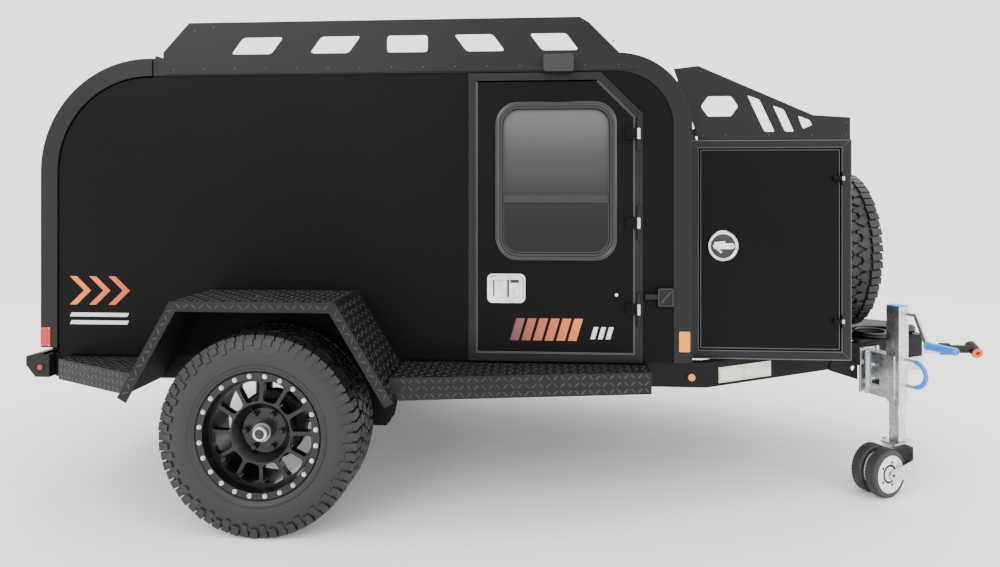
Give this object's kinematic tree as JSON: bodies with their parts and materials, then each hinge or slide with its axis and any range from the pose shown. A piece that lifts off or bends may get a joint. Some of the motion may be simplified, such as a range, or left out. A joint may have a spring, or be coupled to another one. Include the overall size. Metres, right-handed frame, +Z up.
{
  "type": "off-road teardrop camping trailer",
  "caption": "Squared off-road teardrop camping trailer with side doors, rear galley hatch, tongue box, roof rack, spare wheel, swing-up jack and rolling coupler.",
  "frame": {"origin": "on the ground, under the middle of the overall length and width", "axes": "+X forward to the hitch, +Y to the trailer's left, +Z up"},
  "size_m": [4.322, 2.238, 1.979],
  "materials": {
    "frame_black": "satin black paint on steel",
    "body_black": "fine textured black coating on composite panel",
    "trim_black": "satin black powder coat",
    "checker_black": "black coated checker plate",
    "birch_ply": "clear lacquered plywood",
    "mattress_cloth": "woven cover",
    "zinc": "zinc plated",
    "chrome": "polished",
    "lamp_black": "moulded lamp body",
    "red_lens": "moulded lens",
    "amber_lens": "moulded lens",
    "tyre_rubber": "tread rubber",
    "rim_black": "satin black cast alloy",
    "dark_glass": "tinted acrylic",
    "jack_rubber": "solid rubber on white hubs",
    "coupler_black": "black coated forging",
    "orange_poly": "moulded polyurethane",
    "lead_black": "cable sheath"
  },
  "bodies": {
    "trailer": {"frame_rails": "frame_black", "crossmembers": "frame_black", "a_frame_nose": "frame_black", "floor": "body_black", "right_wall": "body_black", "left_wall": "body_black", "roof": "body_black", "front_wall": "body_black", "galley_cabinet": "birch_ply", "mattress": "mattress_cloth", "edge_trims": "trim_black", "door_frame_right": "trim_black", "door_frame_left": "trim_black", "hinge_knuckles": "zinc", "roof_rack_sides": "trim_black", "roof_rack_bars": "trim_black", "porch_lights": "lamp_black", "tail_lights": "red_lens", "marker_lights": "amber_lens", "fender_right": "checker_black", "fender_left": "checker_black", "side_steps": "checker_black", "rear_bumper": "trim_black", "suspension_mounts": "frame_black", "trailing_arms": "frame_black", "tongue_box": "trim_black", "tongue_rack": "trim_black", "spare_carrier": "frame_black", "spare_tyre": "tyre_rubber", "spare_rim": "rim_black", "jack_mount": "zinc", "coupler_channel": "zinc", "lead_cable": "lead_black", "lead_coil": "lead_black", "lead_plug": "lamp_black"},
    "wheel_right": {"tyre_right": "tyre_rubber", "rim_right": "rim_black"},
    "wheel_left": {"tyre_left": "tyre_rubber", "rim_left": "rim_black"},
    "cabin_door_right": {"cabin_door_right": "body_black", "door_glass_right": "dark_glass", "door_latch_right": "chrome"},
    "cabin_door_left": {"cabin_door_left": "body_black", "door_glass_left": "dark_glass", "door_latch_left": "chrome"},
    "rear_hatch": {"rear_hatch": "trim_black"},
    "box_door_right": {"box_door_right": "body_black", "box_latch_right": "chrome"},
    "box_door_left": {"box_door_left": "body_black", "box_latch_left": "chrome"},
    "jack_tube": {"jack_tube": "zinc", "jack_handles": "zinc"},
    "jack_leg": {"jack_leg": "zinc"},
    "jack_castor": {"jack_fork": "zinc"},
    "jack_wheels": {"jack_wheels": "jack_rubber"},
    "coupler_head": {"coupler_head": "coupler_black", "coupler_bushing": "orange_poly"}
  },
  "joints": [
    {"name": "wheel_right_spin", "type": "hinge", "parent": "trailer", "child": "wheel_right", "pos_m": [-1.052, -0.964, 0.38], "axis": [0, 1, 0], "continuous": true},
    {"name": "wheel_left_spin", "type": "hinge", "parent": "trailer", "child": "wheel_left", "pos_m": [-1.052, 0.964, 0.38], "axis": [0, 1, 0], "continuous": true},
    {"name": "cabin_door_right_hinge", "type": "hinge", "parent": "trailer", "child": "cabin_door_right", "pos_m": [0.377, -0.816, 1.1], "axis": [0, 0, 1], "range_deg": [0, 150]},
    {"name": "cabin_door_left_hinge", "type": "hinge", "parent": "trailer", "child": "cabin_door_left", "pos_m": [0.377, 0.816, 1.1], "axis": [0, 0, -1], "range_deg": [0, 150]},
    {"name": "rear_hatch_hinge", "type": "hinge", "parent": "trailer", "child": "rear_hatch", "pos_m": [-1.612, 0, 1.844], "axis": [0, 1, 0], "range_deg": [0, 85]},
    {"name": "box_door_right_hinge", "type": "hinge", "parent": "trailer", "child": "box_door_right", "pos_m": [1.197, -0.728, 1.05], "axis": [0, 0, 1], "range_deg": [0, 120]},
    {"name": "box_door_left_hinge", "type": "hinge", "parent": "trailer", "child": "box_door_left", "pos_m": [1.197, 0.728, 1.05], "axis": [0, 0, -1], "range_deg": [0, 120]},
    {"name": "jack_swing", "type": "hinge", "parent": "trailer", "child": "jack_tube", "pos_m": [1.46584, -0.35121, 0.43], "axis": [0.4695, -0.8829, 0], "range_deg": [0, 90]},
    {"name": "jack_wind", "type": "slide", "parent": "jack_tube", "child": "jack_leg", "axis": [0, 0, 1], "range_m": [-0.08, 0.16]},
    {"name": "jack_castor_swivel", "type": "hinge", "parent": "jack_leg", "child": "jack_castor", "pos_m": [1.53157, -0.47482, 0.2], "axis": [0, 0, 1], "continuous": true},
    {"name": "jack_wheel_spin", "type": "hinge", "parent": "jack_castor", "child": "jack_wheels", "pos_m": [1.42562, -0.53116, 0.1], "axis": [0.4695, -0.8829, 0], "continuous": true},
    {"name": "coupler_roll", "type": "hinge", "parent": "trailer", "child": "coupler_head", "pos_m": [2.035, 0, 0.502], "axis": [1, 0, 0], "continuous": true}
  ]
}
